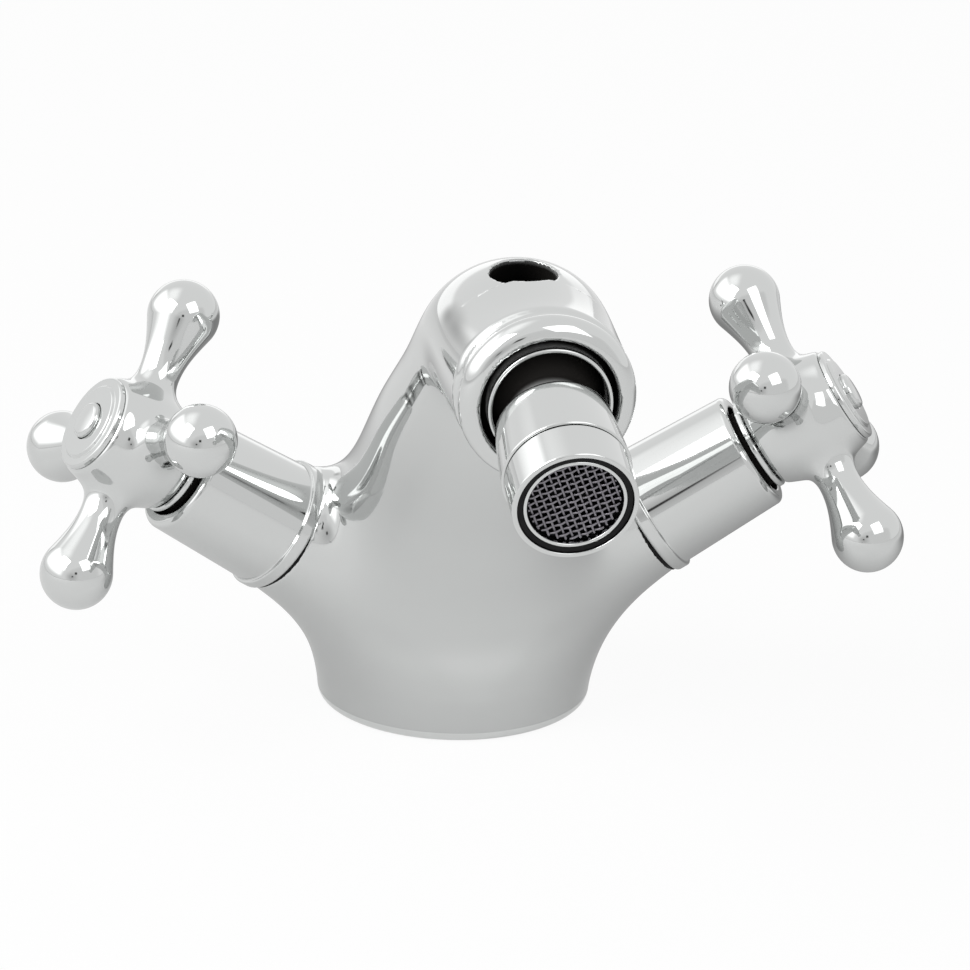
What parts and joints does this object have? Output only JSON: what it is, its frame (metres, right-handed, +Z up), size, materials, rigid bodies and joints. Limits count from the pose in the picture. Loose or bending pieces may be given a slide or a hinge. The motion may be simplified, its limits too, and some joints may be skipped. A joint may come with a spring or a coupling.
{
  "type": "bidet mixer tap",
  "caption": "Single-hole bidet mixer tap with a swan neck, a ball-jointed spray nozzle and angled cross handles.",
  "frame": {"origin": "centre of the underside of the round base, which stands on the bidet's deck", "axes": "+Z up, -Y towards the user along the neck, +X to the user's right across the two handles"},
  "size_m": [0.1687, 0.1446, 0.1085],
  "materials": {
    "chrome": "polished",
    "brass": "machined",
    "rubber": "matt",
    "black_rubber": "satin",
    "ceramic": "lapped",
    "plastic": "moulded",
    "dark_plastic": "moulded",
    "steel": "plain"
  },
  "bodies": {
    "body": {"body_casting": "chrome", "base_gasket": "rubber", "left_valve_body": "brass", "left_seat_seal": "rubber", "left_fixed_disc": "ceramic", "left_flange_seal": "rubber", "left_shroud": "chrome", "right_valve_body": "brass", "right_seat_seal": "rubber", "right_fixed_disc": "ceramic", "right_flange_seal": "rubber", "right_shroud": "chrome", "ball_retaining_ring": "chrome", "ball_seal": "rubber"},
    "left_handle": {"left_spindle": "brass", "left_moving_disc": "ceramic", "left_spindle_orings": "rubber", "left_circlip": "steel", "left_cross_handle": "chrome", "left_collar_ring": "chrome", "left_handle_screw": "steel", "left_cap_disc": "chrome", "left_index_button": "chrome"},
    "right_handle": {"right_spindle": "brass", "right_moving_disc": "ceramic", "right_spindle_orings": "rubber", "right_circlip": "steel", "right_cross_handle": "chrome", "right_collar_ring": "chrome", "right_handle_screw": "steel", "right_cap_disc": "chrome", "right_index_button": "chrome"},
    "ball_seat": {"ball_seat_ring": "plastic"},
    "nozzle": {"ball_barrel": "chrome", "aerator_washer": "rubber", "aerator_housing": "chrome", "aerator_cup": "chrome", "jet_disc": "dark_plastic", "flow_straightener": "dark_plastic", "mesh_screen": "steel", "outlet_seal": "black_rubber"}
  },
  "joints": [
    {"name": "left_handle_turn", "type": "hinge", "parent": "body", "child": "left_handle", "pos_m": [-0.06528, -0.01333, 0.05916], "axis": [-0.8191, -0.1484, 0.5541], "range_deg": [0, 90]},
    {"name": "right_handle_turn", "type": "hinge", "parent": "body", "child": "right_handle", "pos_m": [0.06528, -0.01333, 0.05916], "axis": [0.8191, -0.1484, 0.5541], "range_deg": [-90, 0]},
    {"name": "nozzle_turn", "type": "hinge", "parent": "body", "child": "ball_seat", "pos_m": [0, -0.081, 0.093], "axis": [0, -0.9962, -0.0872], "continuous": true},
    {"name": "nozzle_tilt", "type": "hinge", "parent": "ball_seat", "child": "nozzle", "pos_m": [0, -0.081, 0.093], "axis": [1, 0, 0], "range_deg": [-25, 3]}
  ]
}
